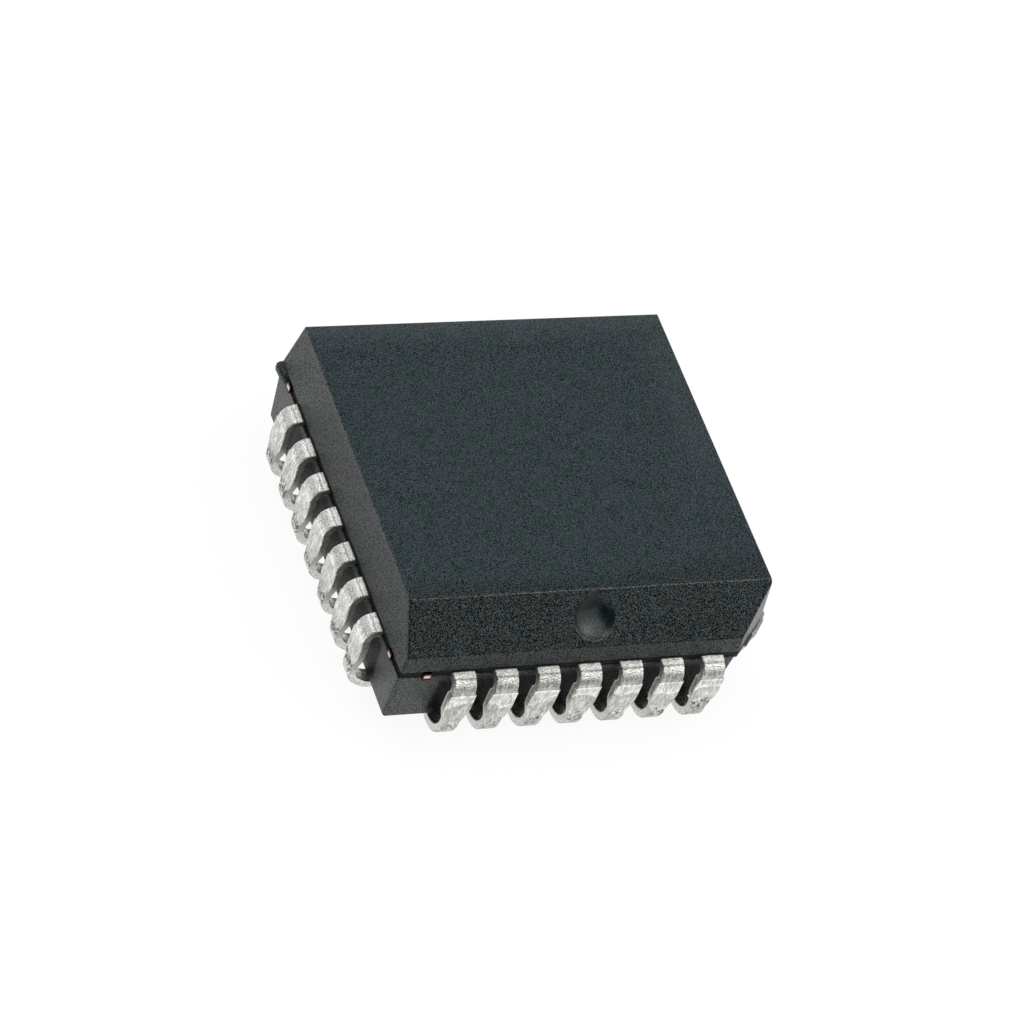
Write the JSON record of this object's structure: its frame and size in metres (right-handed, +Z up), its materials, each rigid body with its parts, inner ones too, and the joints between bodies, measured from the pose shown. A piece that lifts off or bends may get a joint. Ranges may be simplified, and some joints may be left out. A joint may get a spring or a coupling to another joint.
{
  "type": "multiplexer chip",
  "caption": "Square surface-mount chip package with J-shaped leads on all four sides, a bevelled side with a round pin 1 dimple and one slanted index corner.",
  "frame": {"origin": "on the seating plane (the lowest line of the lead curls), below the centre of the package", "axes": "+Z up, square to the seating plane; -Y out of the bevelled side with the dimple; the slanted index corner is at +X, -Y"},
  "size_m": [0.0124, 0.0124, 0.0043],
  "materials": {
    "moulding_compound": "fine matt grain from the mould, dark blue grey",
    "tinned_copper": "satin tin plating over copper alloy",
    "bare_copper": "rolled copper alloy, bare where it was cut",
    "die_glue": "cured silver-filled epoxy",
    "silicon": "polished silicon, opaque",
    "gold_wire": "bright drawn gold"
  },
  "bodies": {
    "root": {"moulded_body": "moulding_compound", "lead_01": "tinned_copper", "lead_02": "tinned_copper", "lead_03": "tinned_copper", "lead_04": "tinned_copper", "lead_05": "tinned_copper", "lead_06": "tinned_copper", "lead_07": "tinned_copper", "lead_08": "tinned_copper", "lead_09": "tinned_copper", "lead_10": "tinned_copper", "lead_11": "tinned_copper", "lead_12": "tinned_copper", "lead_13": "tinned_copper", "lead_14": "tinned_copper", "lead_15": "tinned_copper", "lead_16": "tinned_copper", "lead_17": "tinned_copper", "lead_18": "tinned_copper", "lead_19": "tinned_copper", "lead_20": "tinned_copper", "lead_21": "tinned_copper", "lead_22": "tinned_copper", "lead_23": "tinned_copper", "lead_24": "tinned_copper", "lead_25": "tinned_copper", "lead_26": "tinned_copper", "lead_27": "tinned_copper", "lead_28": "tinned_copper", "die_pad": "bare_copper", "die_attach": "die_glue", "die": "silicon", "bond_wires": "gold_wire"}
  },
  "joints": []
}
